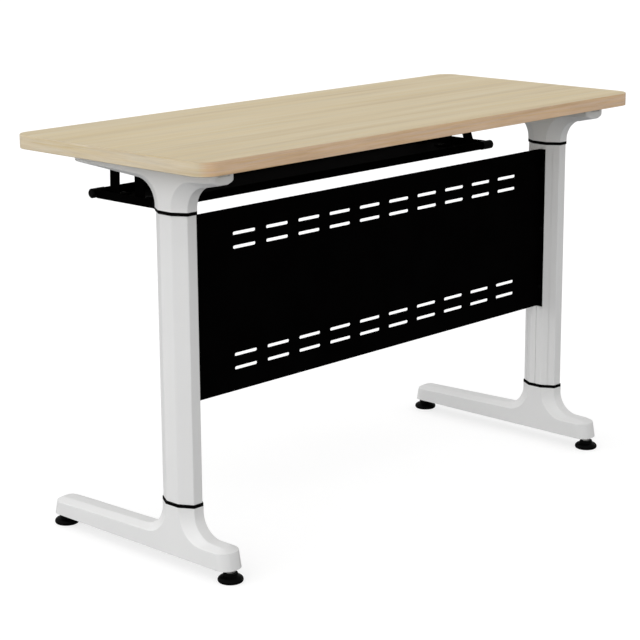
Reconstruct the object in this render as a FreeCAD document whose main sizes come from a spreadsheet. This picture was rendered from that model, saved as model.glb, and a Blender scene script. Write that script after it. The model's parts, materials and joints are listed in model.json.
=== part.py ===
import FreeCAD, Part
import math
import os
import re
import Sketcher

Vec = FreeCAD.Vector
doc = FreeCAD.newDocument("folding_table")
sizes = doc.addObject("Spreadsheet::Sheet", "sizes")

# every size in millimetres; x runs along the table, -y is the panel side, z is up
table = {
    # top
    "top_length": 1200, "top_depth": 500, "top_height": 750, "top_centre_y": -3,
    "board_thickness": 25, "band_thickness": 2, "top_corner_radius": 34, "band_ease": 1.2,
    # legs
    "leg_offset": 522, "leg_centre_y": -98,
    "column_half_width": 25, "column_half_depth": 40,
    "column_front_half": 10.5, "column_side_half": 15, "column_wall": 3,
    "groove_width": 1.8, "groove_depth": 1.2,
    "casting_proud": 1.5, "gasket_proud": 1.6, "gasket_thickness": 6.2,
    "lower_gasket_base": 117.4, "neck_drop": 104.9, "crest_proud": 0.75,
    "front_share": 0.4, "side_share": 0.6,
    # foot casting
    "foot_base": 24, "foot_near_end": -232, "foot_far_end": 246, "foot_draft": 6,
    "foot_crown": 63, "foot_near_crown": 62, "foot_far_crown": 56, "foot_bend": 45,
    "foot_side_crown": 55, "foot_side_near": 55, "foot_side_far": 50, "foot_side_bend": 55,
    "foot_end_round": 4, "foot_corner": 24,
    "foot_hollow_half": 18, "foot_hollow_roof": 44, "foot_hollow_near": -198,
    "foot_hollow_far": 208, "foot_hollow_gap": 26,
    # arm casting
    "arm_near_end": -218.3, "arm_far_end": 141, "arm_gap": 0.5,
    "crown_drop": 57, "end_crown_drop": 51, "far_crown_drop": 48.5, "arm_bend": 45,
    "side_crown_drop": 48, "side_end_drop": 45, "side_far_drop": 43.5, "arm_side_bend": 50,
    "arm_end_drop": 4, "arm_end_run": 7, "arm_corner": 8,
    # rod that clamps foot, column and arm together
    "tie_radius": 6, "tie_clearance": 0.1, "tie_hole_radius": 6.5, "tie_drop": 64,
    "tie_low_end": 33, "tie_seat": 52, "tie_well_radius": 17,
    "washer_radius": 15, "washer_thickness": 2.5, "tie_nut_height": 10, "tie_nut_flats": 19,
    # levelling glides
    "glide_near_y": -217, "glide_far_y": 230, "glide_radius": 23, "glide_rim": 7.5,
    "glide_top": 17, "glide_waist": 13, "glide_ease": 2.5,
    "stud_radius": 5, "stud_root": 6, "stud_top": 42, "stud_fit": 0.05,
    "stud_collar_base": 17, "stud_collar_flats": 15,
    "insert_radius": 8, "insert_length": 22, "stud_head_room": 2,
    # modesty panel
    "panel_drop": 121, "panel_height": 334, "panel_sheet": 1.5, "panel_flange": 15,
    "panel_bend": 1, "slot_length": 56, "slot_height": 6, "slot_pitch": 83, "slot_columns": 10,
    "slot_edge": 44, "slot_row_gap": 25, "slot_shift": 12.5, "slot_drop": 2.2,
    "panel_screw_inset": 8, "panel_screw_margin": 42, "panel_screw_radius": 2.5,
    "panel_screw_length": 10, "panel_screw_clearance": 0.3, "panel_head_radius": 4.5,
    "panel_head_height": 1.6, "rivet_nut_radius": 4, "rivet_nut_length": 12,
    "rivet_nut_collar": 5.5, "rivet_nut_collar_length": 3, "thread_clearance": 0.1,
    # hinge between arm and top
    "hinge_y": -210, "hinge_drop": 9, "nose_cover": 2.3, "barrel_gap": 3,
    "barrel_half": 13, "barrel_end_gap": 0.5, "barrel_well": 7, "barrel_back": 9.5,
    "front_wall": 1.8, "front_wall_drop": 1.2,
    "bush_radius": 4.5, "bush_fit": 0.05, "pin_radius": 3, "pin_skin": 3,
    "plate_thickness": 3, "plate_half": 24, "plate_start": 12, "plate_far_end": 140,
    "plate_corner": 6, "plate_screw_radius": 2, "plate_screw_head": 4.5, "plate_screw_length": 18,
    "plate_screw_side": 15, "plate_screw_first": -176, "plate_screw_pitch": 98,
    # lock between arm and hinge plate
    "lock_y": 120, "lock_drop": 9, "lug_half": 3, "lug_length": 24, "lug_depth": 16,
    "lug_gap": 1.5, "lug_side_gap": 1.5, "lock_radius": 4, "lock_lug_clearance": 0.35,
    "lock_fit": 0.05, "lock_tip_gap": 1, "lock_travel": 14, "lock_end_room": 2,
    "lock_bush_wall": 2, "lock_bush_lip": 2, "lock_bush_lip_radius": 9,
    "knob_radius": 8, "knob_length": 11, "knob_waist": 5.5, "knob_grip": 6,
    "knob_neck": 2.75, "knob_shoulder": 5.5, "knob_ease": 2,
    # rubber bumpers under the hinge plate
    "bumper_radius": 6, "bumper_depth": 3.5, "bumper_first_y": -150, "bumper_second_y": 74,
    # shelf under the top
    "shelf_half_length": 466, "shelf_near_y": 12, "shelf_far_y": 188, "shelf_drop": 119,
    "roll_radius": 8, "roll_wall": 1.8, "shelf_sheet": 1.5, "pan_lift": 0.2, "weld_gap": 0.05,
    "shelf_end_height": 13.5,
    "cap_length": 26, "cap_wall": 0.9, "cap_fit": 0.1, "cap_end": 6, "cap_slit_gap": 1, "cap_ease": 2.5,
    "hanger_x": 433, "hanger_width": 24, "hanger_sheet": 3, "hanger_flange": 30,
    "hanger_near_top": 70, "hanger_near_foot": 33, "hanger_middle_top": 98,
    "hanger_middle_foot": 98, "hanger_far_top": 164, "hanger_far_foot": 167,
    "hanger_hole_first": 10, "hanger_hole_second": 22,
    "hanger_screw_radius": 2, "hanger_screw_head": 4, "hanger_screw_head_height": 2,
    "hanger_screw_length": 15, "rivet_radius": 2.4, "rivet_head": 4.5, "rivet_head_height": 1.5,
}
for row, (alias, number) in enumerate(table.items(), start=1):
    sizes.set(f"A{row}", alias.replace("_", " "))
    sizes.set(f"B{row}", str(number))
    sizes.setAlias(f"B{row}", alias)
doc.recompute()

sides = {"left": -1, "right": 1}
ends = ("near", "far")
turns = {
    "x": FreeCAD.Rotation(Vec(0, 1, 0), 90),
    "y": FreeCAD.Rotation(Vec(1, 0, 0), -90),
    "z": FreeCAD.Rotation(),
}
nodes = {}


def size(alias):
    return float(sizes.get(alias))


def bound(text):
    # point every size word in an expression at the sheet
    return re.sub(r"\b([a-z]+_[a-z_]+)\b", r"sizes.\1", text)


def bind(item, path, text):
    item.setExpression(path, bound(text))


def place(item, at):
    for axis, text in zip("xyz", at):
        bind(item, "Placement.Base." + axis, text)
    return item


def keep(item, name):
    item.Label = name
    nodes[name] = item
    return item


def box(name, low, span):
    item = doc.addObject("Part::Box", name)
    for path, text in zip(("Length", "Width", "Height"), span):
        bind(item, path, text)
    return place(item, low)


def rod(name, at, radius, length, axis="z"):
    item = doc.addObject("Part::Cylinder", name)
    item.Placement = FreeCAD.Placement(Vec(), turns[axis])
    bind(item, "Radius", radius)
    bind(item, "Height", length)
    return place(item, at)


def cone(name, at, low_radius, high_radius, length, axis="z"):
    item = doc.addObject("Part::Cone", name)
    item.Placement = FreeCAD.Placement(Vec(), turns[axis])
    bind(item, "Radius1", low_radius)
    bind(item, "Radius2", high_radius)
    bind(item, "Height", length)
    return place(item, at)


def hexagon(name, at, flats, length):
    item = doc.addObject("Part::Prism", name)
    item.Polygon = 6
    bind(item, "Circumradius", f"({flats}) / sqrt(3)")
    bind(item, "Height", length)
    return place(item, at)


def fuse(name, items):
    item = doc.addObject("Part::MultiFuse", name)
    item.Shapes = items
    item.Refine = True
    return item


def cut(name, base, tools):
    item = doc.addObject("Part::Cut", name)
    item.Base = base
    item.Tool = tools[0] if len(tools) == 1 else fuse(name + "_tools", tools)
    item.Refine = True
    return item


def bundle(name, items):
    item = doc.addObject("Part::Compound", name)
    item.Links = items
    return item


def outline(body, name, plane, points):
    # closed polygon, every corner held from the origin by two bound distances
    sketch = body.newObject("Sketcher::SketchObject", name)
    support = [item for item in body.Origin.OriginFeatures if item.Role == plane][0]
    sketch.AttachmentSupport = [(support, "")]
    sketch.MapMode = "FlatFace"
    count = len(points)
    start = [Vec(math.cos(2 * math.pi * i / count), math.sin(2 * math.pi * i / count), 0)
             for i in range(count)]
    for i in range(count):
        sketch.addGeometry(Part.LineSegment(start[i], start[(i + 1) % count]), False)
    for i in range(count):
        sketch.addConstraint(Sketcher.Constraint("Coincident", i, 2, (i + 1) % count, 1))
    for i, (across, up) in enumerate(points):
        for kind, text, now in (("DistanceX", across, start[i].x), ("DistanceY", up, start[i].y)):
            index = sketch.addConstraint(Sketcher.Constraint(kind, -1, 1, i, 1, now))
            sketch.setExpression(f"Constraints[{index}]", bound(text))
    return sketch


def pad(body, sketch, length, flip=False):
    item = body.newObject("PartDesign::Pad", sketch.Name + "_pad")
    item.Profile = sketch
    item.Reversed = flip
    bind(item, "Length", length)
    body.Tip = item
    return item


def revolve(body, sketch):
    item = body.newObject("PartDesign::Revolution", sketch.Name + "_turn")
    item.Profile = sketch
    item.ReferenceAxis = (sketch, ["V_Axis"])
    item.Angle = 360
    body.Tip = item
    return item


def soften(body, feature, kind, wanted, length, path):
    # fillet or chamfer on the edges a test picks out
    doc.recompute()
    names = [f"Edge{i}" for i, edge in enumerate(feature.Shape.Edges, start=1) if wanted(edge)]
    item = body.newObject("PartDesign::" + kind, f"{feature.Name}_{kind.lower()}")
    item.Base = (feature, names)
    bind(item, path, length)
    body.Tip = item
    return item


def upright(edge):
    low, high = edge.BoundBox.ZMin, edge.BoundBox.ZMax
    return edge.BoundBox.XLength < 0.01 and edge.BoundBox.YLength < 0.01 and high - low > 0.01


def solid_body(name):
    return doc.addObject("PartDesign::Body", name)


def wire(points):
    # points joined by lines; a pair of entries marked "bend" goes through an arc's midpoint
    edges = []
    i = 0
    while i < len(points):
        here = points[i]
        after = points[(i + 1) % len(points)]
        if len(after) == 3:
            last = points[(i + 2) % len(points)]
            edges.append(Part.Arc(Vec(0, *here), Vec(0, *after[:2]), Vec(0, *last)).toShape())
            i += 2
        else:
            edges.append(Part.LineSegment(Vec(0, *here), Vec(0, *after)).toShape())
            i += 1
    return Part.Wire(edges)


def bend(centre, radius, angle):
    return (centre[0] + radius * math.cos(math.radians(angle)),
            centre[1] + radius * math.sin(math.radians(angle)), "bend")


def shell(name, profile, reach, corner):
    # ruled skin through a narrow profile on each side and a full one between them
    half = size("column_half_width") + size("casting_proud")
    crest = size("column_front_half") + size("crest_proud")
    sections = []
    for x, inner in ((-half, True), (-crest, False), (crest, False), (half, True)):
        section = wire(profile(inner))
        section.translate(Vec(x, 0, 0))
        sections.append(section)
    skin = Part.makeLoft(sections, True, True)
    near, far, low, high = reach
    plan = Part.makeBox(2 * half, far - near, high - low, Vec(-half, near, low))
    posts = [edge for edge in plan.Edges if upright(edge)]
    item = doc.addObject("Part::Feature", name)
    item.Shape = skin.common(plan.makeFillet(size(corner), posts)).removeSplitter()
    return item


def foot_profile(inner):
    middle = size("leg_centre_y")
    proud = size("casting_proud")
    base = size("foot_base")
    near, far = size("foot_near_end"), size("foot_far_end")
    draft, turn = size("foot_draft"), size("foot_end_round")
    half = size("column_side_half" if inner else "column_half_depth") + proud
    crown = size("foot_side_crown" if inner else "foot_crown")
    near_crown = size("foot_side_near" if inner else "foot_near_crown")
    far_crown = size("foot_side_far" if inner else "foot_far_crown")
    radius = size("foot_side_bend" if inner else "foot_bend")
    neck = size("lower_gasket_base")
    near_top, far_top = near + draft, far - draft
    return [
        (near, base),
        (near_top, near_crown - turn),
        bend((near_top + turn, near_crown - turn), turn, 135),
        (near_top + turn, near_crown),
        (middle - half - radius, crown),
        bend((middle - half - radius, crown + radius), radius, -45),
        (middle - half, crown + radius),
        (middle - half, neck),
        (middle + half, neck),
        (middle + half, crown + radius),
        bend((middle + half + radius, crown + radius), radius, -135),
        (middle + half + radius, crown),
        (far_top - turn, far_crown),
        bend((far_top - turn, far_crown - turn), turn, 45),
        (far_top, far_crown - turn),
        (far, base),
    ]


def arm_profile(inner):
    middle = size("leg_centre_y")
    half = size("column_side_half" if inner else "column_half_depth") + size("casting_proud")
    height = size("top_height")
    crown = height - size("side_crown_drop" if inner else "crown_drop")
    end_crown = height - size("side_end_drop" if inner else "end_crown_drop")
    far_crown = height - size("side_far_drop" if inner else "far_crown_drop")
    radius = size("arm_side_bend" if inner else "arm_bend")
    near, far = size("arm_near_end"), size("arm_far_end")
    drop, run = size("arm_end_drop"), size("arm_end_run")
    neck = height - size("neck_drop")
    under = height - size("board_thickness")
    top = under - size("plate_thickness") - size("arm_gap")
    hinge = (size("hinge_y"), under - size("hinge_drop"))
    nose = size("hinge_drop") - size("barrel_gap") + size("nose_cover")
    lift = math.degrees(math.asin((top - hinge[1]) / nose))
    tip = bend(hinge, nose, 180 - lift)[:2]
    return [
        tip,
        bend(hinge, nose, 180 - lift / 2),
        (hinge[0] - nose, hinge[1]),
        (hinge[0] - nose, end_crown + drop),
        (near + run, end_crown),
        (middle - half - radius, crown),
        bend((middle - half - radius, crown - radius), radius, 45),
        (middle - half, crown - radius),
        (middle - half, neck),
        (middle + half, neck),
        (middle + half, crown - radius),
        bend((middle + half + radius, crown - radius), radius, 135),
        (middle + half + radius, crown),
        (far - run, far_crown),
        (far, far_crown + drop),
        (far, top),
    ]


# heights and positions used by several pieces, written once as expressions
board_base = "(top_height - board_thickness)"
plate_base = f"({board_base} - plate_thickness)"
arm_top = f"({plate_base} - arm_gap)"
hinge_z = f"({board_base} - hinge_drop)"
lock_z = f"({plate_base} - lock_drop)"
neck_base = "(top_height - neck_drop)"
tie_top = "(top_height - tie_drop)"
panel_base = "(top_height - panel_drop - panel_height)"
roll_level = "(top_height - shelf_drop)"
pan_base = f"({roll_level} - roll_radius + pan_lift)"
pan_top = f"({pan_base} + shelf_sheet)"
column_base = "(lower_gasket_base + gasket_thickness)"
column_length = f"({neck_base} - gasket_thickness - {column_base})"
casting_half = "(column_half_width + casting_proud)"
bumper_rows = ("bumper_first_y", "bumper_second_y")
hanger_rows = ("near", "middle", "far")
plate_screw_rows = range(4)


def leg(side):
    # text of a leg's centre line
    return f"({sides[side]} * leg_offset)"


def inboard(side, amount):
    # text of an x position measured from a leg's centre towards the table's middle
    return f"({leg(side)} - {sides[side]} * ({amount}))"


def low_x(side, first, second):
    # low x of a block between two inboard distances, the first one smaller
    return inboard(side, first if side == "left" else second)


def octagon(side, proud, grooves=False):
    front = f"(column_front_half + {proud} * front_share)"
    flank = f"(column_side_half + {proud} * side_share)"
    width, depth = f"(column_half_width + {proud})", f"(column_half_depth + {proud})"
    run = f"({width} - {front})"
    rise = f"({depth} - {flank})"
    slope = f"sqrt({run} ^ 2 + {rise} ^ 2)"
    wide, deep = "(groove_width / 2)", "groove_depth"
    along_x, along_y = f"({run} / {slope})", f"({rise} / {slope})"

    def notch(sign):
        # groove across the middle of a sloped inboard face, walked from the end face inwards
        mid_x, mid_y = f"({width} + {front}) / 2", f"({depth} + {flank}) / 2"
        rim = [(f"{mid_x} - {k} * {wide} * {along_x}", f"{mid_y} + {k} * {wide} * {along_y}")
               for k in (1, -1)]
        floor = [(f"{x} - {deep} * {along_y}", f"{y} - {deep} * {along_x}") for x, y in rim]
        return [(x, f"{sign} * ({y})") for x, y in (rim[0], floor[0], floor[1], rim[1])]

    inner = [(front, f"-{depth}")]
    if grooves:
        inner += notch(-1)
    inner += [(width, f"-{flank}")]
    if grooves:
        inner += [(width, f"-{wide}"), (f"{width} - {deep}", f"-{wide}"),
                  (f"{width} - {deep}", wide), (width, wide)]
    inner += [(width, flank)]
    if grooves:
        inner += notch(1)[::-1]
    inner += [(front, depth)]
    outer = [(f"-{front}", depth), (f"-{width}", flank), (f"-{width}", f"-{flank}"),
             (f"-{front}", f"-{depth}")]
    return [(inboard(side, x), f"leg_centre_y + {y}") for x, y in inner + outer]


def make_foot(side):
    name = f"foot_{side}"
    near, far = size("foot_near_end"), size("foot_far_end")
    raw = shell(name + "_skin", foot_profile, (near, far, 0, size("lower_gasket_base")), "foot_corner")
    place(raw, (leg(side), "0", "0"))
    depth = "foot_hollow_roof - foot_base"
    tools = [
        box(name + "_near_hollow",
            (f"{leg(side)} - foot_hollow_half", "foot_hollow_near", "foot_base"),
            ("2 * foot_hollow_half", "leg_centre_y - foot_hollow_gap - foot_hollow_near", depth)),
        box(name + "_far_hollow",
            (f"{leg(side)} - foot_hollow_half", "leg_centre_y + foot_hollow_gap", "foot_base"),
            ("2 * foot_hollow_half", "foot_hollow_far - leg_centre_y - foot_hollow_gap", depth)),
        rod(name + "_well", (leg(side), "leg_centre_y", "foot_base"), "tie_well_radius",
            "tie_seat - foot_base"),
        rod(name + "_bore", (leg(side), "leg_centre_y", "foot_base"), "tie_hole_radius",
            "lower_gasket_base - foot_base"),
    ]
    for end in ends:
        tools.append(rod(f"{name}_{end}_socket", (leg(side), f"glide_{end}_y", "foot_base"),
                         "insert_radius", "insert_length"))
    return keep(cut(name, raw, tools), name)


def make_column(side):
    name = f"column_{side}"
    body = solid_body(name + "_tube")
    pad(body, outline(body, name + "_section", "XY_Plane", octagon(side, "0", True)), column_length)
    bind(body, "Placement.Base.z", column_base)
    core = solid_body(name + "_core")
    pad(core, outline(core, name + "_bore", "XY_Plane", octagon(side, "(0 - column_wall)")),
        f"{column_length} + 2 * column_wall")
    bind(core, "Placement.Base.z", f"{column_base} - column_wall")
    hollow = cut(name + "_hollow", body, [core])
    tools = []
    for i, height in enumerate(panel_screw_heights):
        tools.append(rod(f"{name}_hole_{i}",
                         (low_x(side, "column_half_width - 2 * column_wall",
                                "column_half_width + column_wall"),
                          "leg_centre_y - panel_screw_inset", height),
                         "rivet_nut_radius", "3 * column_wall", "x"))
    return keep(cut(name, hollow, tools), name)


def make_gasket(side, level, base):
    name = f"gasket_{level}_{side}"
    body = solid_body(name + "_ring")
    pad(body, outline(body, name + "_section", "XY_Plane", octagon(side, "gasket_proud")),
        "gasket_thickness")
    bind(body, "Placement.Base.z", base)
    hole = rod(name + "_hole", (leg(side), "leg_centre_y", base), "tie_hole_radius",
               "gasket_thickness")
    return keep(cut(name, body, [hole]), name)


def make_tie(side):
    name = f"tie_rod_{side}"
    shaft = rod(name, (leg(side), "leg_centre_y", "tie_low_end"), "tie_radius",
                f"{tie_top} - tie_low_end")
    return keep(shaft, name)


def make_washer(side):
    base = "tie_seat - washer_thickness"
    disc = rod(f"washer_{side}_disc", (leg(side), "leg_centre_y", base), "washer_radius",
               "washer_thickness")
    hole = rod(f"washer_{side}_hole", (leg(side), "leg_centre_y", base), "tie_hole_radius",
               "washer_thickness")
    return cut(f"washer_{side}", disc, [hole])


def make_nut(side):
    base = "tie_seat - washer_thickness - tie_nut_height"
    block = hexagon(f"nut_{side}_block", (leg(side), "leg_centre_y", base), "tie_nut_flats",
                    "tie_nut_height")
    hole = rod(f"nut_{side}_hole", (leg(side), "leg_centre_y", base),
               "tie_radius + tie_clearance", "tie_nut_height")
    return cut(f"nut_{side}", block, [hole])


def make_arm(side):
    name = f"arm_{side}"
    high = size("top_height")
    low = high - size("neck_drop")
    reach = (size("arm_near_end"), size("arm_far_end"), low, high)
    raw = shell(name + "_skin", arm_profile, reach, "arm_corner")
    place(raw, (leg(side), "0", "0"))
    well = f"{hinge_z} - barrel_well"
    slot_half = "(barrel_half + barrel_end_gap)"
    lug_room = "(lug_half + lug_side_gap)"
    far_reach = f"({lug_room} + lock_travel - lock_tip_gap - 2 * {lug_room} + lock_end_room)"
    tools = [
        box(name + "_barrel_slot",
            (f"{leg(side)} - {slot_half}", "arm_near_end + front_wall", well),
            (f"2 * {slot_half}", "hinge_y + barrel_back - arm_near_end - front_wall",
             "hinge_drop + barrel_well")),
        box(name + "_plate_slot",
            (f"{leg(side)} - {slot_half}", "arm_near_end - arm_end_run",
             f"{hinge_z} - front_wall_drop"),
            (f"2 * {slot_half}", "hinge_y + barrel_back - arm_near_end + arm_end_run",
             "hinge_drop + front_wall_drop")),
        rod(name + "_pin_bore",
            (low_x(side, f"pin_skin - {casting_half}", f"{casting_half} + pin_skin"),
             "hinge_y", hinge_z), "pin_radius", f"2 * {casting_half}", "x"),
        box(name + "_lug_slot",
            (f"{leg(side)} - {lug_room}", "lock_y - lug_length / 2 - lug_gap",
             f"{plate_base} - lug_depth - lug_gap"),
            (f"2 * {lug_room}", "lug_length + 2 * lug_gap", "lug_depth + lug_gap")),
        rod(name + "_bush_bore",
            (low_x(side, lug_room, f"{casting_half} + arm_corner"), "lock_y", lock_z),
            "lock_radius + lock_bush_wall", f"{casting_half} + arm_corner - {lug_room}", "x"),
        rod(name + "_lock_bore",
            (low_x(side, f"0 - {lug_room} - {far_reach}", f"{lug_room}"), "lock_y", lock_z),
            "lock_radius + lock_lug_clearance", f"2 * {lug_room} + {far_reach}", "x"),
        rod(name + "_tie_bore", (leg(side), "leg_centre_y", neck_base),
            "tie_radius + tie_clearance", f"{tie_top} - {neck_base}"),
    ]
    for i, row in enumerate(bumper_rows):
        tools.append(rod(f"{name}_bumper_{i}", (leg(side), row, f"{arm_top} - bumper_depth"),
                         "bumper_radius", "bumper_depth + arm_gap"))
    return keep(cut(name, raw, tools), name)


def make_bumper(side, i):
    return rod(f"bumper_{side}_{i}", (leg(side), bumper_rows[i], f"{arm_top} - bumper_depth"),
               "bumper_radius", "bumper_depth + arm_gap")


def make_pin(side):
    return rod(f"pin_{side}",
               (low_x(side, f"pin_skin - {casting_half}", f"{casting_half}"), "hinge_y", hinge_z),
               "pin_radius", f"2 * {casting_half} - pin_skin", "x")


def make_lock_bush(side):
    name = f"lock_bush_{side}"
    inner, outer = "(lug_half + lug_side_gap)", casting_half
    sleeve = rod(name + "_sleeve", (low_x(side, inner, outer), "lock_y", lock_z),
                 "lock_radius + lock_bush_wall", f"{outer} - {inner}", "x")
    lip = rod(name + "_lip", (low_x(side, outer, f"{outer} + lock_bush_lip"), "lock_y", lock_z),
              "lock_bush_lip_radius", "lock_bush_lip", "x")
    hole = rod(name + "_hole", (low_x(side, inner, f"{outer} + lock_bush_lip"), "lock_y", lock_z),
               "lock_radius + lock_fit", f"{outer} + lock_bush_lip - {inner}", "x")
    return cut(name, fuse(name + "_blank", [sleeve, lip]), [hole])


lock_tip = "(lug_half + lug_side_gap + lock_tip_gap)"
knob_face = f"({casting_half} + lock_bush_lip + lock_travel + lock_tip_gap / 2)"


def make_lock_bolt(side):
    name = f"lock_bolt_{side}"
    return keep(rod(name, (low_x(side, lock_tip, f"{knob_face} + knob_grip"), "lock_y", lock_z),
                    "lock_radius", f"{knob_face} + knob_grip - {lock_tip}", "x"), name)


def make_lock_knob(side):
    name = f"lock_knob_{side}"
    body = solid_body(name + "_turned")
    points = [("0", "0"), ("knob_waist", "0"), ("knob_waist", "knob_neck"),
              ("knob_radius", "knob_shoulder"), ("knob_radius", "knob_length - knob_ease"),
              ("knob_radius - knob_ease", "knob_length"), ("0", "knob_length")]
    revolve(body, outline(body, name + "_half", "XZ_Plane", points))
    quarter = FreeCAD.Rotation(Vec(0, 1, 0), -90 * sides[side])
    body.Placement = FreeCAD.Placement(Vec(), quarter)
    place(body, (inboard(side, knob_face), "lock_y", lock_z))
    hole = rod(name + "_hole", (low_x(side, knob_face, f"{knob_face} + knob_grip"),
                                "lock_y", lock_z), "lock_radius", "knob_grip", "x")
    return keep(cut(name, body, [hole]), name)


def make_insert(side, end):
    name = f"insert_{side}_{end}"
    at = (leg(side), f"glide_{end}_y", "foot_base")
    sleeve = rod(name + "_sleeve", at, "insert_radius", "insert_length")
    hole = rod(name + "_hole", at, "stud_radius + stud_fit", "insert_length - stud_head_room")
    return cut(name, sleeve, [hole])


def make_glide(side, end):
    name = f"glide_pad_{end}_{side}"
    body = solid_body(name + "_turned")
    points = [("0", "0"), ("glide_radius - glide_ease", "0"), ("glide_radius", "glide_ease"),
              ("glide_radius", "glide_rim"), ("glide_radius - glide_ease", "glide_rim + glide_ease"),
              ("glide_waist", "glide_top - 2 * glide_ease"), ("glide_waist", "glide_top"),
              ("0", "glide_top")]
    revolve(body, outline(body, name + "_half", "XZ_Plane", points))
    place(body, (leg(side), f"glide_{end}_y", "0"))
    hole = rod(name + "_hole", (leg(side), f"glide_{end}_y", "stud_root"), "stud_radius",
               "glide_top - stud_root")
    keep(cut(name, body, [hole]), name)
    name = f"glide_stud_{end}_{side}"
    shank = rod(name + "_shank", (leg(side), f"glide_{end}_y", "stud_root"), "stud_radius",
                "stud_top - stud_root")
    collar = hexagon(name + "_collar", (leg(side), f"glide_{end}_y", "stud_collar_base"),
                     "stud_collar_flats", "foot_base - stud_collar_base")
    return keep(fuse(name, [shank, collar]), name)


panel_screw_heights = (f"{panel_base} + panel_screw_margin", f"{panel_base} + panel_height / 2",
                       f"{panel_base} + panel_height - panel_screw_margin")


def add_slot(sketch, centre, here):
    # round-ended slot about a bound centre point, drawn where it will lie
    first = len(sketch.Geometry)
    radius = size("slot_height") / 2
    flat = Vec(size("slot_length") / 2 - radius, 0, 0)
    up = Vec(0, radius, 0)
    sketch.addGeometry(Part.LineSegment(here - flat + up, here + flat + up), False)
    sketch.addGeometry(Part.ArcOfCircle(Part.Circle(here + flat, Vec(0, 0, 1), radius),
                                        -math.pi / 2, math.pi / 2), False)
    sketch.addGeometry(Part.LineSegment(here + flat - up, here - flat - up), False)
    sketch.addGeometry(Part.ArcOfCircle(Part.Circle(here - flat, Vec(0, 0, 1), radius),
                                        math.pi / 2, 3 * math.pi / 2), False)
    top, right, low, left = range(first, first + 4)
    for one, one_end, two, two_end in ((top, 2, right, 2), (right, 1, low, 1),
                                       (low, 2, left, 2), (left, 1, top, 1)):
        sketch.addConstraint(Sketcher.Constraint("Tangent", one, one_end, two, two_end))
    sketch.addConstraint(Sketcher.Constraint("Horizontal", top))
    sketch.addConstraint(Sketcher.Constraint("Equal", right, left))
    half = "(slot_length - slot_height) / 2"
    across, tall = centre
    for kind, item, text, now in (("DistanceX", right, f"{across} + {half}", (here + flat).x),
                                  ("DistanceX", left, f"{across} - {half}", (here - flat).x),
                                  ("DistanceY", right, tall, here.y)):
        index = sketch.addConstraint(Sketcher.Constraint(kind, -1, 1, item, 3, now))
        sketch.setExpression(f"Constraints[{index}]", bound(text))
    index = sketch.addConstraint(Sketcher.Constraint("Radius", right, radius))
    sketch.setExpression(f"Constraints[{index}]", bound("slot_height / 2"))


def make_panel():
    name = "modesty_panel"
    body = solid_body(name + "_sheet")
    reach = "(leg_offset - column_half_width)"
    face, back = "leg_centre_y - panel_sheet / 2", "leg_centre_y + panel_sheet / 2"
    lip = "leg_centre_y - panel_flange"
    points = [(f"-{reach}", lip), (f"panel_sheet - {reach}", lip), (f"panel_sheet - {reach}", face),
              (f"{reach} - panel_sheet", face), (f"{reach} - panel_sheet", lip), (reach, lip),
              (reach, back), (f"-{reach}", back)]
    sheet = pad(body, outline(body, name + "_section", "XY_Plane", points), "panel_height")
    outer = size("leg_offset") - size("column_half_width")
    fold = size("leg_centre_y") + size("panel_sheet") / 2

    def corner(edge):
        where = edge.CenterOfMass
        return upright(edge) and abs(abs(where.x) - outer) < 0.1 and abs(where.y - fold) < 0.1

    soften(body, sheet, "Fillet", corner, "panel_bend", "Radius")
    slots = body.newObject("Sketcher::SketchObject", name + "_slots")
    support = [item for item in body.Origin.OriginFeatures if item.Role == "XZ_Plane"][0]
    slots.AttachmentSupport = [(support, "")]
    slots.MapMode = "FlatFace"
    first = "slot_shift - (slot_columns - 1) * slot_pitch / 2"
    low, gap = size("slot_edge") - size("slot_drop"), size("slot_row_gap")
    high = size("panel_height") - size("slot_edge") - size("slot_drop")
    rows = {
        "slot_edge - slot_drop": low, "slot_edge - slot_drop + slot_row_gap": low + gap,
        "panel_height - slot_edge - slot_drop - slot_row_gap": high - gap,
        "panel_height - slot_edge - slot_drop": high,
    }
    start = size("slot_shift") - (size("slot_columns") - 1) * size("slot_pitch") / 2
    for row, height in rows.items():
        add_slot(slots, (first, row), Vec(start, height, 0))
    pocket = body.newObject("PartDesign::Pocket", name + "_cut")
    pocket.Profile = slots
    pocket.Type = "ThroughAll"
    pocket.SideType = "Symmetric"
    body.Tip = pocket
    doc.recompute()
    rank = body.newObject("PartDesign::LinearPattern", name + "_rank")
    rank.Originals = [pocket]
    rank.Direction = (slots, ["H_Axis"])
    bind(rank, "Length", "(slot_columns - 1) * slot_pitch")
    bind(rank, "Occurrences", "slot_columns")
    body.Tip = rank
    bind(body, "Placement.Base.z", panel_base)
    tools = []
    for side in sides:
        for i, height in enumerate(panel_screw_heights):
            tools.append(rod(f"panel_{side}_hole_{i}",
                             (low_x(side, "column_half_width", "column_half_width + 2 * panel_sheet"),
                              "leg_centre_y - panel_screw_inset", height),
                             "panel_screw_radius + panel_screw_clearance", "2 * panel_sheet", "x"))
    return keep(cut(name, body, tools), name)


def make_panel_screw(side, i):
    name = f"panel_screw_{side}_{i}"
    y, z = "leg_centre_y - panel_screw_inset", panel_screw_heights[i]
    face = "(column_half_width + panel_sheet)"
    head = rod(name + "_head", (low_x(side, face, f"{face} + panel_head_height"), y, z),
               "panel_head_radius", "panel_head_height", "x")
    shank = rod(name + "_shank", (low_x(side, f"{face} - panel_screw_length", face), y, z),
                "panel_screw_radius", "panel_screw_length", "x")
    return fuse(name, [head, shank])


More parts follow.
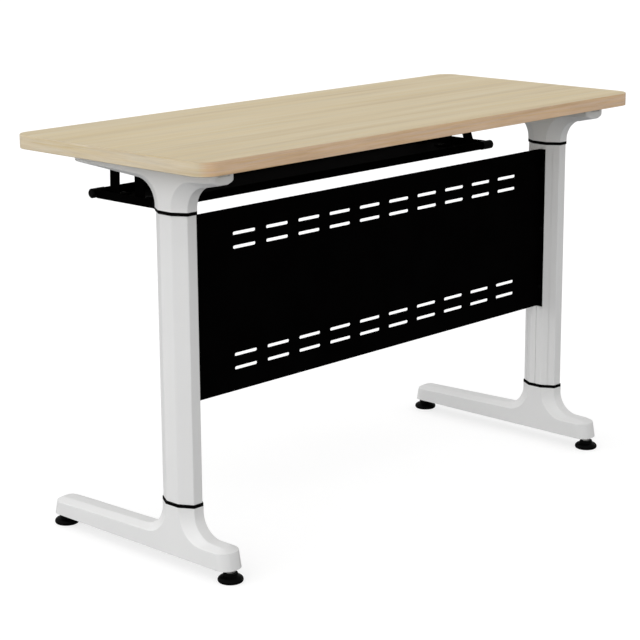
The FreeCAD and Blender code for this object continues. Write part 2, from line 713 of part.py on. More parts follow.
def make_rivet_nut(side, i):
    name = f"rivet_nut_{side}_{i}"
    y, z = "leg_centre_y - panel_screw_inset", panel_screw_heights[i]
    wall = "(column_half_width - column_wall)"
    body = rod(name + "_body",
               (low_x(side, "column_half_width - rivet_nut_length", "column_half_width"), y, z),
               "rivet_nut_radius", "rivet_nut_length", "x")
    collar = rod(name + "_collar", (low_x(side, f"{wall} - rivet_nut_collar_length", wall), y, z),
                 "rivet_nut_collar", "rivet_nut_collar_length", "x")
    hole = rod(name + "_hole",
               (low_x(side, "column_half_width - rivet_nut_length", "column_half_width"), y, z),
               "panel_screw_radius + thread_clearance", "rivet_nut_length", "x")
    return cut(name, fuse(name + "_blank", [body, collar]), [hole])


def plate_screw_spots(side):
    # two staggered rows of screws along a hinge plate
    spots = []
    for i in plate_screw_rows:
        for k in (-1, 1):
            spots.append((f"{leg(side)} + {k} * plate_screw_side",
                          f"plate_screw_first + {i} * plate_screw_pitch"))
    return spots


def make_hinge_plate(side):
    name = f"hinge_plate_{side}"
    body = solid_body(name + "_strap")
    near, wide = "hinge_y", "hinge_y + plate_start"
    middle = leg(side)
    points = [(f"{middle} - barrel_half", near), (f"{middle} + barrel_half", near),
              (f"{middle} + barrel_half", wide), (f"{middle} + plate_half", wide),
              (f"{middle} + plate_half", "plate_far_end"), (f"{middle} - plate_half", "plate_far_end"),
              (f"{middle} - plate_half", wide), (f"{middle} - barrel_half", wide)]
    strap = pad(body, outline(body, name + "_plan", "XY_Plane", points), "plate_thickness")
    far = size("plate_far_end")
    soften(body, strap, "Fillet",
           lambda edge: upright(edge) and abs(edge.CenterOfMass.y - far) < 0.1,
           "plate_corner", "Radius")
    bind(body, "Placement.Base.z", plate_base)
    barrel = rod(name + "_barrel", (f"{middle} - barrel_half", "hinge_y", hinge_z),
                 "hinge_drop - barrel_gap", "2 * barrel_half", "x")
    web = box(name + "_web", (f"{middle} - barrel_half", "hinge_y", hinge_z),
              ("2 * barrel_half", "hinge_drop - barrel_gap", "hinge_drop - plate_thickness"))
    lug = box(name + "_lug",
              (f"{middle} - lug_half", "lock_y - lug_length / 2", f"{plate_base} - lug_depth"),
              ("2 * lug_half", "lug_length", "lug_depth"))
    tools = [
        rod(name + "_bush_bore", (f"{middle} - barrel_half", "hinge_y", hinge_z),
            "bush_radius", "2 * barrel_half", "x"),
        rod(name + "_lock_hole", (f"{middle} - lug_half", "lock_y", lock_z),
            "lock_radius + lock_lug_clearance", "2 * lug_half", "x"),
    ]
    for i, (x, y) in enumerate(plate_screw_spots(side)):
        tools.append(cone(f"{name}_screw_{i}", (x, y, plate_base), "plate_screw_head",
                          "plate_screw_radius", "plate_thickness"))
    return keep(cut(name, fuse(name + "_blank", [body, barrel, web, lug]), tools), name)


def make_hinge_bush(side):
    at = (f"{leg(side)} - barrel_half", "hinge_y", hinge_z)
    sleeve = rod(f"bush_{side}_sleeve", at, "bush_radius", "2 * barrel_half", "x")
    hole = rod(f"bush_{side}_hole", at, "pin_radius + bush_fit", "2 * barrel_half", "x")
    return cut(f"bush_{side}", sleeve, [hole])


def make_plate_screw(side, i):
    x, y = plate_screw_spots(side)[i]
    name = f"plate_screw_{side}_{i}"
    head = cone(name + "_head", (x, y, plate_base), "plate_screw_head", "plate_screw_radius",
                "plate_thickness")
    shank = rod(name + "_shank", (x, y, board_base), "plate_screw_radius",
                "plate_screw_length - plate_thickness")
    return fuse(name, [head, shank])


def rounded_slab(name, shrink, thickness):
    # plan of the top, drawn in by a distance, with rounded corners
    body = solid_body(name)
    half_x, half_y = f"(top_length / 2 - {shrink})", f"(top_depth / 2 - {shrink})"
    points = [(f"{kx} * {half_x}", f"top_centre_y + {ky} * {half_y}")
              for kx, ky in ((-1, -1), (1, -1), (1, 1), (-1, 1))]
    slab = pad(body, outline(body, name + "_plan", "XY_Plane", points), thickness)
    soften(body, slab, "Fillet", upright, f"top_corner_radius - {shrink}", "Radius")
    bind(body, "Placement.Base.z", board_base)
    return body


def hanger_spots(side, row):
    # screw and rivet positions along a hanger's two flanges
    high, low = f"hanger_{row}_top", f"hanger_{row}_foot"
    outer = f"{sides[side]} * hanger_x"
    holes = [f"{outer} - {sides[side]} * {reach}" for reach in
             ("hanger_hole_first", "hanger_hole_second")]
    return high, low, holes


def make_board():
    blank = rounded_slab("board_slab", "band_thickness", "board_thickness")
    tools = []
    for side in sides:
        for i, (x, y) in enumerate(plate_screw_spots(side)):
            tools.append(rod(f"board_{side}_plate_{i}", (x, y, board_base), "plate_screw_radius",
                             "plate_screw_length - plate_thickness"))
        for row in hanger_rows:
            high, low, holes = hanger_spots(side, row)
            for i, x in enumerate(holes):
                tools.append(rod(f"board_{side}_{row}_{i}", (x, high, board_base),
                                 "hanger_screw_radius", "hanger_screw_length - hanger_sheet"))
    return keep(cut("tabletop_board", blank, tools), "tabletop_board")


def make_band():
    outer = rounded_slab("band_slab", "0", "board_thickness")
    tip = outer.Tip

    def rim(edge):
        low, high = edge.BoundBox.ZMin, edge.BoundBox.ZMax
        return high - low < 0.01

    soften(outer, tip, "Fillet", rim, "band_ease", "Radius")
    inner = rounded_slab("band_core", "band_thickness", "board_thickness")
    return keep(cut("tabletop_edge_band", outer, [inner]), "tabletop_edge_band")


def make_shelf():
    # sheet pan welded between two tube rails, with a low plate standing at each end
    long = "2 * shelf_half_length"
    clear = "(roll_radius + cap_wall + cap_slit_gap)"
    tools = []
    for end in ends:
        name = f"shelf_rail_{end}"
        at = ("0 - shelf_half_length", f"shelf_{end}_y", roll_level)
        tube = rod(name + "_tube", at, "roll_radius", long, "x")
        bore = rod(name + "_bore", at, "roll_radius - roll_wall", long, "x")
        keep(cut(name, tube, [bore]), name)
        tools.append(rod(name + "_seat", at, "roll_radius + weld_gap", long, "x"))
    for side in sides:
        for row in hanger_rows:
            high, low, holes = hanger_spots(side, row)
            for i, x in enumerate(holes):
                tools.append(rod(f"shelf_{side}_{row}_{i}", (x, low, pan_base),
                                 "rivet_radius", "shelf_sheet"))
        start = "0 - shelf_half_length" if side == "left" else "shelf_half_length - cap_length"
        for end in ends:
            base = "shelf_near_y" if end == "near" else f"shelf_far_y - {clear}"
            tools.append(box(f"shelf_{side}_{end}_notch", (start, base, pan_base),
                             ("cap_length", clear, "shelf_sheet")))
        edge = "0 - shelf_half_length" if side == "left" else "shelf_half_length - shelf_sheet"
        keep(box(f"shelf_end_{side}", (edge, f"shelf_near_y + {clear}", pan_top),
                 ("shelf_sheet", f"shelf_far_y - shelf_near_y - 2 * {clear}", "shelf_end_height")),
             f"shelf_end_{side}")
    pan = box("shelf_pan", ("0 - shelf_half_length", "shelf_near_y", pan_base),
              (long, "shelf_far_y - shelf_near_y", "shelf_sheet"))
    return keep(cut("shelf_tray", pan, tools), "shelf_tray")


def make_cap(side, end):
    name = f"shelf_cap_{end}_{side}"
    body = solid_body(name + "_turned")
    outer, inner = "(roll_radius + cap_wall)", "roll_radius + cap_fit"
    points = [("0", "cap_length"), ("0", "cap_length + cap_end"),
              (f"{outer} - cap_ease", "cap_length + cap_end"),
              (outer, "cap_length + cap_end - cap_ease"), (outer, "0"), (inner, "0"),
              (inner, "cap_length")]
    revolve(body, outline(body, name + "_half", "XZ_Plane", points))
    quarter = FreeCAD.Rotation(Vec(0, 1, 0), 90 * sides[side])
    body.Placement = FreeCAD.Placement(Vec(), quarter)
    start = f"{sides[side]} * (shelf_half_length - cap_length)"
    return keep(place(body, (start, f"shelf_{end}_y", roll_level)), name)


def make_hanger(side, row):
    name = f"shelf_hanger_{row}_{side}"
    high, low, holes = hanger_spots(side, row)
    body = solid_body(name + "_web")
    half = "hanger_width / 2"
    points = [(f"{low} - {half}", pan_top), (f"{low} + {half}", pan_top),
              (f"{high} + {half}", board_base), (f"{high} - {half}", board_base)]
    pad(body, outline(body, name + "_side", "YZ_Plane", points), "hanger_sheet")
    sign = sides[side]
    outer = f"{sign} * hanger_x"
    bind(body, "Placement.Base.x", outer if sign < 0 else f"{outer} - hanger_sheet")
    start = outer if sign < 0 else f"{outer} - hanger_flange"
    upper = box(name + "_upper", (start, f"{high} - {half}", f"{board_base} - hanger_sheet"),
                ("hanger_flange", "hanger_width", "hanger_sheet"))
    lower = box(name + "_lower", (start, f"{low} - {half}", pan_top),
                ("hanger_flange", "hanger_width", "hanger_sheet"))
    tools = []
    for i, x in enumerate(holes):
        tools.append(rod(f"{name}_screw_{i}", (x, high, f"{board_base} - hanger_sheet"),
                         "hanger_screw_radius", "hanger_sheet"))
        tools.append(rod(f"{name}_rivet_{i}", (x, low, pan_top), "rivet_radius",
                         "hanger_sheet"))
    return keep(cut(name, fuse(name + "_blank", [body, upper, lower]), tools), name)


def make_hanger_fixings(side, row):
    high, low, holes = hanger_spots(side, row)
    screws, rivets = [], []
    for i, x in enumerate(holes):
        name = f"hanger_screw_{side}_{row}_{i}"
        seat = f"{board_base} - hanger_sheet"
        head = rod(name + "_head", (x, high, f"{seat} - hanger_screw_head_height"),
                   "hanger_screw_head", "hanger_screw_head_height")
        shank = rod(name + "_shank", (x, high, seat), "hanger_screw_radius", "hanger_screw_length")
        screws.append(fuse(name, [head, shank]))
        name = f"hanger_rivet_{side}_{row}_{i}"
        base = pan_base
        shank = rod(name + "_shank", (x, low, base), "rivet_radius", "shelf_sheet + hanger_sheet")
        under = rod(name + "_under", (x, low, f"{base} - rivet_head_height"), "rivet_head",
                    "rivet_head_height")
        over = rod(name + "_over", (x, low, f"{pan_top} + hanger_sheet"), "rivet_head",
                   "rivet_head_height")
        rivets.append(fuse(name, [shank, under, over]))
    return screws, rivets


screw_rows = range(len(panel_screw_heights))
for side in sides:
    make_foot(side)
    make_column(side)
    make_arm(side)
    make_gasket(side, "lower", "lower_gasket_base")
    make_gasket(side, "upper", f"{neck_base} - gasket_thickness")
    make_tie(side)
    make_lock_bolt(side)
    make_lock_knob(side)
    make_hinge_plate(side)
    for end in ends:
        make_glide(side, end)
        make_cap(side, end)
    for row in hanger_rows:
        make_hanger(side, row)
make_panel()
make_board()
make_band()
make_shelf()

fixings = [make_hanger_fixings(side, row) for side in sides for row in hanger_rows]
groups = {
    "tie_washers": [make_washer(side) for side in sides],
    "tie_nuts": [make_nut(side) for side in sides],
    "leveller_inserts": [make_insert(side, end) for side in sides for end in ends],
    "panel_screws": [make_panel_screw(side, i) for side in sides for i in screw_rows],
    "panel_rivet_nuts": [make_rivet_nut(side, i) for side in sides for i in screw_rows],
    "hinge_pins": [make_pin(side) for side in sides],
    "hinge_bushes": [make_hinge_bush(side) for side in sides],
    "hinge_plate_screws": [make_plate_screw(side, i) for side in sides
                           for i in range(2 * len(plate_screw_rows))],
    "lock_bushes": [make_lock_bush(side) for side in sides],
    "stop_bumpers": [make_bumper(side, i) for side in sides for i in range(len(bumper_rows))],
    "shelf_screws": [screw for screws, rivets in fixings for screw in screws],
    "shelf_rivets": [rivet for screws, rivets in fixings for rivet in rivets],
}
for name, items in groups.items():
    keep(bundle(name, items), name)
doc.recompute()

for item in doc.Objects:
    if "Invalid" in item.State or "Error" in item.State:
        raise RuntimeError(f"{item.Name} did not build: {item.State}")
os.makedirs("parts", exist_ok=True)
for name, item in nodes.items():
    shape = item.Shape
    if shape.isNull() or not shape.isValid():
        raise RuntimeError(f"{name} has no valid shape")
    shape.exportStep(f"parts/{name}.step")
    print(name, len(shape.Solids), round(shape.Volume))
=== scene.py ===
import bmesh
import bpy
import json
import math
from mathutils import Matrix, Vector


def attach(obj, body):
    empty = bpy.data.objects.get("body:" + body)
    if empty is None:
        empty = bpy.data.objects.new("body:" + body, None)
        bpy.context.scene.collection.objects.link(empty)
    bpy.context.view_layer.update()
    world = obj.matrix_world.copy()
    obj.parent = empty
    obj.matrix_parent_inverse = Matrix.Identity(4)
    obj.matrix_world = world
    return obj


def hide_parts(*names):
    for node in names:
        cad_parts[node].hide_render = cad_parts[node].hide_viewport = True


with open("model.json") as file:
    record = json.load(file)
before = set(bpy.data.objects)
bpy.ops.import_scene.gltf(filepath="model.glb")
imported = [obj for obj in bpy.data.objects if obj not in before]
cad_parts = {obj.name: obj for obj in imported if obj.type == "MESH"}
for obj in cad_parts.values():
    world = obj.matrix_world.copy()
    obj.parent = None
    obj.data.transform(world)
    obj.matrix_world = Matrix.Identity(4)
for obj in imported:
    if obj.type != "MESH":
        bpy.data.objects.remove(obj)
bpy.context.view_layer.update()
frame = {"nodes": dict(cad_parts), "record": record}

scene = bpy.context.scene
cadNodes = frame["nodes"]
sides = {"left": -1, "right": 1}
mm = 0.001  # sizes below are in millimetres
sharpAngle = 32  # degrees; a steeper edge stays crisp
print("stage: frame loaded,", len(cadNodes), "nodes")


def addNode(tree, kind, **values):
    node = tree.nodes.new("ShaderNode" + kind)
    for key, value in values.items():
        if key in node.inputs:
            node.inputs[key].default_value = value
        else:
            setattr(node, key, value)
    return node


def startMaterial(name):
    material = bpy.data.materials.new(name)
    material.use_nodes = True
    return material, material.node_tree, material.node_tree.nodes["Principled BSDF"]


def coords(tree, stretch=(1, 1, 1), turn=(0, 0, 0)):
    source = addNode(tree, "TexCoord")
    mapping = addNode(tree, "Mapping", Scale=stretch, Rotation=turn)
    tree.links.new(source.outputs["Object"], mapping.inputs["Vector"])
    return mapping.outputs["Vector"]


def noise(tree, vector, scale, detail=2.0, roughness=0.5, distortion=0.0):
    node = addNode(tree, "TexNoise", Scale=scale, Detail=detail, Roughness=roughness,
                   Distortion=distortion)
    tree.links.new(vector, node.inputs["Vector"])
    return node.outputs["Fac"]


def ramp(tree, fac, stops):
    node = addNode(tree, "ValToRGB")
    elements = node.color_ramp.elements
    while len(elements) < len(stops):
        elements.new(0.5)
    for element, (place, colour) in zip(elements, stops):
        element.position = place
        element.color = (*colour, 1) if len(colour) == 3 else colour
    tree.links.new(fac, node.inputs["Fac"])
    return node.outputs["Color"]


def span(tree, value, low, high, start=0.0, stop=1.0):
    node = addNode(tree, "MapRange")
    for key, number in (("From Min", start), ("From Max", stop), ("To Min", low), ("To Max", high)):
        node.inputs[key].default_value = number
    tree.links.new(value, node.inputs["Value"])
    return node.outputs["Result"]


def blend(tree, first, second, fac, kind="MIX"):
    node = addNode(tree, "Mix", data_type="RGBA", blend_type=kind)
    for socket, value in ((node.inputs[0], fac), (node.inputs[6], first), (node.inputs[7], second)):
        if isinstance(value, bpy.types.NodeSocket):
            tree.links.new(value, socket)
        else:
            socket.default_value = value
    return node.outputs[2]


def bump(tree, shader, height, strength, distance, under=None):
    node = addNode(tree, "Bump", Strength=strength, Distance=distance)
    tree.links.new(height, node.inputs["Height"])
    if under is not None:
        tree.links.new(under.outputs["Normal"], node.inputs["Normal"])
    tree.links.new(node.outputs["Normal"], shader.inputs["Normal"])
    return node


def powderCoat(name, look):
    # sprayed and baked paint: orange peel, a little mottling, uneven gloss
    material, tree, shader = startMaterial(name)
    place = coords(tree)
    cloud = noise(tree, place, look["mottle"], detail=4)
    tree.links.new(ramp(tree, cloud, [(0.32, look["shade"]), (0.68, look["paint"])]),
                   shader.inputs["Base Color"])
    peel = noise(tree, place, look["peel"], detail=2, roughness=0.55)
    grit = noise(tree, place, look["grit"], detail=1)
    tree.links.new(span(tree, peel, *look["gloss"]), shader.inputs["Roughness"])
    broad = bump(tree, shader, peel, look["peelStrength"], distance=0.0006)
    bump(tree, shader, grit, look["gritStrength"], distance=0.0002, under=broad)
    shader.inputs["Specular IOR Level"].default_value = look["specular"]
    return material


whitePaint = {
    "paint": (0.725, 0.725, 0.722), "shade": (0.705, 0.705, 0.703), "mottle": 9, "peel": 520,
    "grit": 2600, "gloss": (0.36, 0.5), "peelStrength": 0.05, "gritStrength": 0.03, "specular": 0.4,
}
blackPaint = {
    "paint": (0.0012, 0.0011, 0.0011), "shade": (0.0007, 0.0006, 0.0006), "mottle": 14, "peel": 900,
    "grit": 3200, "gloss": (0.72, 0.88), "peelStrength": 0.10, "gritStrength": 0.12, "specular": 0.004,
}


def moulded(name, look):
    # moulded plastic or rubber: fine spark-eroded grain and faint flow marks
    material, tree, shader = startMaterial(name)
    flow = noise(tree, coords(tree, stretch=(20, 20, 60)), scale=1, detail=3, roughness=0.6, distortion=0.8)
    tree.links.new(ramp(tree, flow, [(0.3, look["dark"]), (0.75, look["pale"])]),
                   shader.inputs["Base Color"])
    grain = noise(tree, coords(tree), look["grain"], detail=3, roughness=0.6)
    tree.links.new(span(tree, grain, *look["gloss"]), shader.inputs["Roughness"])
    bump(tree, shader, grain, look["strength"], distance=0.0003)
    shader.inputs["Specular IOR Level"].default_value = look["specular"]
    return material


blackMoulding = {"dark": (0.001, 0.001, 0.001), "pale": (0.0022, 0.0022, 0.0022), "grain": 2200,
                 "gloss": (0.4, 0.56), "strength": 0.12, "specular": 0.035}
softRubber = {"dark": (0.0008, 0.0008, 0.0008), "pale": (0.0016, 0.0015, 0.0015), "grain": 3000,
              "gloss": (0.62, 0.8), "strength": 0.16, "specular": 0.02}
greyAcetal = {"dark": (0.075, 0.076, 0.08), "pale": (0.1, 0.1, 0.105), "grain": 2400,
              "gloss": (0.32, 0.45), "strength": 0.06, "specular": 0.45}


def plated(name, look):
    # zinc on turned steel: fine lines, cloudy passivation
    material, tree, shader = startMaterial(name)
    cloud = noise(tree, coords(tree), scale=160, detail=4, roughness=0.6)
    tree.links.new(ramp(tree, cloud, [(0.3, look["dark"]), (0.7, look["pale"])]),
                   shader.inputs["Base Color"])
    lines = noise(tree, coords(tree, look["lines"]), scale=1, detail=3, roughness=0.6)
    tree.links.new(span(tree, lines, *look["gloss"]), shader.inputs["Roughness"])
    bump(tree, shader, lines, look["strength"], distance=0.0002)
    shader.inputs["Metallic"].default_value = look["metal"]
    shader.inputs["Specular IOR Level"].default_value = look["specular"]
    return material


brightZinc = {"dark": (0.46, 0.46, 0.45), "pale": (0.62, 0.61, 0.58), "lines": (260, 260, 2600),
              "gloss": (0.24, 0.42), "strength": 0.05, "metal": 1.0, "specular": 0.5}
blackZinc = {"dark": (0.0016, 0.0016, 0.0016), "pale": (0.0034, 0.0034, 0.0036),
             "lines": (900, 900, 900), "gloss": (0.42, 0.58), "strength": 0.05, "metal": 0.0,
             "specular": 0.03}

laminate = {
    "pale": (0.579, 0.487, 0.306), "mid": (0.544, 0.449, 0.272), "deep": (0.475, 0.373, 0.212),
    "figure": (0.9, 19, 19), "line": (1.5, 95, 95), "fibre": (7, 430, 430), "pore": (34, 1300, 1300),
    "gloss": (0.36, 0.5), "specular": 0.35,
}
edging = {
    "pale": (0.714, 0.608, 0.429), "mid": (0.669, 0.5575, 0.379), "deep": (0.591, 0.474, 0.307),
    "figure": (4, 4, 70), "line": (5, 5, 260), "fibre": (22, 22, 700), "pore": (60, 60, 1500),
    "gloss": (0.34, 0.46), "specular": 0.35,
    # painted shade by facing: tints multiplied in by how each face of the band is turned, not by its own
    # colour
    "longSidePaintedShade": [(0.45, (0.897, 0.924, 0.978)), (0.92, (1.003, 0.862, 0.84))],
    "upperSidePaintedShade": [(0.3, (1.0, 1.0, 1.0)), (0.85, (0.8, 0.77, 0.69))],
}
woodLayers = {  # printed over the figure; noise is detail, roughness, distortion
    "fibre": {"noise": (4, 0.62, 0.0), "share": 0.7,
              "stops": [(0.30, (0.89, 0.85, 0.77)), (0.62, (1.0, 1.0, 1.0))]},
    "pore": {"noise": (2, 0.5, 0.0), "share": 0.55,
             "stops": [(0.25, (0.84, 0.80, 0.74)), (0.36, (1.0, 1.0, 1.0))]},
    "line": {"noise": (3, 0.6, 0.2), "share": 1.0,
             "stops": [(0.34, (0.995, 0.955, 0.82)), (0.5, (1.015, 1.0, 0.985)),
                       (0.66, (0.985, 1.015, 1.10))]},
}


def woodPrint(name, look):
    # printed wood grain under a thin clear film, the grain running along the table
    material, tree, shader = startMaterial(name)
    figure = noise(tree, coords(tree, look["figure"]), scale=1.6, detail=5, roughness=0.6, distortion=0.35)
    base = ramp(tree, figure, [(0.30, look["deep"]), (0.47, look["mid"]), (0.66, look["pale"])])
    prints = {}
    for key, layer in woodLayers.items():
        prints[key] = noise(tree, coords(tree, look[key]), 1, *layer["noise"])
        base = blend(tree, base, ramp(tree, prints[key], layer["stops"]), layer["share"], "MULTIPLY")
    if "longSidePaintedShade" in look:  # painted shade by facing: the strips along the table are warmer than the end strips, and upward and downward faces are darker
        facing = addNode(tree, "SeparateXYZ")
        tree.links.new(addNode(tree, "TexCoord").outputs["Normal"], facing.inputs["Vector"])
        for axis, key in (("Y", "longSidePaintedShade"), ("Z", "upperSidePaintedShade")):
            tone = addNode(tree, "Math", operation="ABSOLUTE")
            tree.links.new(facing.outputs[axis], tone.inputs[0])
            base = blend(tree, base, ramp(tree, tone.outputs[0], look[key]), 1.0, "MULTIPLY")
    tree.links.new(base, shader.inputs["Base Color"])
    tree.links.new(span(tree, prints["fibre"], *look["gloss"]), shader.inputs["Roughness"])
    first = bump(tree, shader, prints["fibre"], strength=0.05, distance=0.0004)
    bump(tree, shader, prints["pore"], strength=0.05, distance=0.0003, under=first)
    shader.inputs["Specular IOR Level"].default_value = look["specular"]
    return material


finishes = {
    "white_casting": powderCoat("whiteCastingPaint", whitePaint),
    "white_extrusion": powderCoat("whiteColumnPaint", whitePaint),
    "white_steel": powderCoat("whitePlatePaint", whitePaint),
    "black_sheet": powderCoat("blackSheetPaint", blackPaint),
    "black_gasket": moulded("gasketRubber", softRubber),
    "rubber_bumper": moulded("bumperRubber", softRubber),
    "black_plastic": moulded("glidePlastic", blackMoulding),
    "bush_plastic": moulded("bushAcetal", greyAcetal),
    "wood_board": woodPrint("woodLaminate", laminate),
    "edge_band": woodPrint("woodEdging", edging),
    "black_fixing": plated("blackZincSteel", blackZinc),
    "zinc_insert": plated("insertZinc", brightZinc),
    "steel": plated("brightZincSteel", brightZinc),
}
for part in frame["record"]["subparts"]:
    shown = cadNodes[part["node"]]
    shown.data.materials.clear()
    shown.data.materials.append(finishes[part["material_slot"]])
print("stage: finishes made,", len(finishes))


def addPiece(name, mesh, body, slot, *replaced):
    piece = bpy.data.objects.new(name, mesh)
    scene.collection.objects.link(piece)
    mesh.materials.clear()
    mesh.materials.append(finishes[slot])
    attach(piece, body)
    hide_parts(*replaced)
    return piece


def oval(centre, reach, start, stop, count, power=2):
    # run along an oval; a power over 2 makes its corners fuller
    points = []
    for i in range(count + 1):
        turn = math.radians(start + (stop - start) * i / count)
        points.append([middle + size * math.copysign(abs(way) ** (2 / power), way)
                       for middle, size, way in zip(centre, reach, (math.cos(turn), math.sin(turn)))])
    return points


def arc(centre, radius, start, stop, count):
    return oval(centre, (radius, radius), start, stop, count)


def joined(parts):
    # chain (points, steps) runs into one loop; each stretch between two points is cut into steps
    loop = []
    for points, steps in parts:
        for a, b in zip(points, points[1:]):
            for i in range(steps):
                loop.append((a[0] + (b[0] - a[0]) * i / steps, a[1] + (b[1] - a[1]) * i / steps))
    return loop


leg = {"offset": 522, "centreY": -98, "glides": {"near": -217, "far": 230}}  # where each leg stands
casting = {
    "halfWidth": 26.5, "crestHalf": 11.25, "edgeRound": 1.1, "crestRound": 1.5,
    "roundShare": 0.4, "crestShare": 0.8,  # the most of a bevel or crest that a round takes
    "easeRun": 14, "easeLeast": 0.12,  # the rounds fade over this run up to the neck
    "planHold": 14,  # stretch at each end with the full plan round
    "roundSteps": 4, "bevelSteps": 8, "crestSteps": 4, "endSteps": 6, "bendSteps": 14, "neckSteps": 6,
    "flankSteps": 3, "weld": 0.001, "overcut": 5, "lap": 1,  # the last two keep cutters clear of faces
}
foot = {
    "base": 24, "near": -232, "far": 246, "draft": 6, "endRound": 4, "neck": 117.4,
    "steps": {"end": 5, "near": 30, "far": 90, "base": 30},
    "planCorner": 24, "planFade": 60, "noseRise": 0.5,
    "outer": {"half": 41.5, "crown": 63, "nearCrown": 62, "farCrown": 56, "bend": 45},
    "inner": {"half": 16.5, "crown": 55, "nearCrown": 55, "farCrown": 50, "bend": 55},
    "hollowHalf": 18, "hollowRoof": 44, "hollowNear": -198, "hollowFar": 208, "hollowGap": 26,
    "wellRadius": 17, "wellRoof": 52, "socketRadius": 8, "socketRoof": 46,
}
arm = {
    "near": -218.3, "far": 141, "top": 721.5, "neck": 645.1, "endDrop": 4, "endRun": 7,
    "steps": {"nose": 5, "end": 3, "near": 6, "far": 14, "top": 26},
    "planCorner": 8, "planFade": 34, "hinge": (-210, 716), "nose": 8.3,
    "outer": {"half": 41.5, "crown": 693, "nearCrown": 699, "farCrown": 701.5, "bend": 45},
    "inner": {"half": 16.5, "crown": 702, "nearCrown": 705, "farCrown": 706.5, "bend": 50},
    "slotHalf": 13.5, "slotBack": -200.5, "slotFloor": 709, "frontWall": 1.8, "wallTop": 714.8,
    "pinRadius": 3, "pinSkin": 3,
    "lockY": 120, "lockZ": 713, "lugHalf": 4.5, "lugLength": 27, "lugFloor": 704.5,
    "bushRadius": 6, "boltRadius": 4.35, "boltReach": 15,
    "bumperRadius": 6, "bumperFloor": 718, "bumpers": (-150, 74),
}


def footLoop(part):
    mid, half, bend, turn = leg["centreY"], part["half"], part["bend"], foot["endRound"]
    nearTop, farTop = foot["near"] + foot["draft"], foot["far"] - foot["draft"]
    crown, nearCrown, farCrown = part["crown"], part["nearCrown"], part["farCrown"]
    corner, curl, flank = casting["endSteps"], casting["bendSteps"], casting["flankSteps"]
    nearArc = arc((nearTop + turn, nearCrown - turn), turn, 180, 90, corner)
    risingArc = arc((mid - half - bend, crown + bend), bend, -90, 0, curl)
    fallingArc = arc((mid + half + bend, crown + bend), bend, 180, 270, curl)
    farArc = arc((farTop - turn, farCrown - turn), turn, 90, 0, corner)
    nearNeck, farNeck = (mid - half, foot["neck"]), (mid + half, foot["neck"])
    nearBase, farBase = (foot["near"], foot["base"]), (foot["far"], foot["base"])
    steps = foot["steps"]
    return joined([
        ([nearBase, nearArc[0]], steps["end"]), (nearArc, 1),
        ([nearArc[-1], risingArc[0]], steps["near"]), (risingArc, 1),
        ([risingArc[-1], nearNeck], flank), ([nearNeck, farNeck], casting["neckSteps"]),
        ([farNeck, fallingArc[0]], flank), (fallingArc, 1),
        ([fallingArc[-1], farArc[0]], steps["far"]), (farArc, 1),
        ([farArc[-1], farBase], steps["end"]), ([farBase, nearBase], steps["base"]),
    ])


def armLoop(part):
    mid, half, bend, nose = leg["centreY"], part["half"], part["bend"], arm["nose"]
    crown, nearCrown, farCrown = part["crown"], part["nearCrown"], part["farCrown"]
    run, drop = arm["endRun"], arm["endDrop"]
    steps, curl, flank = arm["steps"], casting["bendSteps"], casting["flankSteps"]
    lift = math.degrees(math.asin((arm["top"] - arm["hinge"][1]) / nose))
    noseArc = arc(arm["hinge"], nose, 180 - lift, 180, steps["nose"])
    chin = oval((arm["near"] + run, nearCrown + drop), (run, drop), 180, 270, casting["endSteps"])
    heel = oval((arm["far"] - run, farCrown + drop), (run, drop), 270, 360, casting["endSteps"])
    sinkingArc = arc((mid - half - bend, crown - bend), bend, 90, 0, curl)
    climbingArc = arc((mid + half + bend, crown - bend), bend, 180, 90, curl)
    nearNeck, farNeck = (mid - half, arm["neck"]), (mid + half, arm["neck"])
    farTop = (arm["far"], arm["top"])
    return joined([
        (noseArc, 1), ([noseArc[-1], chin[0]], steps["end"]), (chin, 1),
        ([chin[-1], sinkingArc[0]], steps["near"]), (sinkingArc, 1),
        ([sinkingArc[-1], nearNeck], flank), ([nearNeck, farNeck], casting["neckSteps"]),
        ([farNeck, climbingArc[0]], flank), (climbingArc, 1),
        ([climbingArc[-1], heel[0]], steps["far"]), (heel, 1),
        ([heel[-1], farTop], steps["end"]), ([farTop, noseArc[0]], steps["top"]),
    ])


def inward(loop):
    # a step into the outline at every point, longer where it turns
    count, sharpest = len(loop), 0.5
    area = sum(loop[i][0] * loop[(i + 1) % count][1] - loop[(i + 1) % count][0] * loop[i][1]
               for i in range(count))
    spin = 1 if area > 0 else -1
    steps = []
    for i in range(count):
        before, here, after = (Vector(loop[(i + k) % count]) for k in (-1, 0, 1))
        one, two = (here - before).normalized(), (after - here).normalized()
        normal = Vector((-(one.y + two.y), one.x + two.x)) * spin
        normal.normalize()
        edge = Vector((-one.y, one.x)) * spin
        steps.append(normal / max(sharpest, normal.dot(edge)))
    return steps


def curveStep(a, b, c, t):
    return a * (1 - t) ** 2 + b * 2 * t * (1 - t) + c * t ** 2


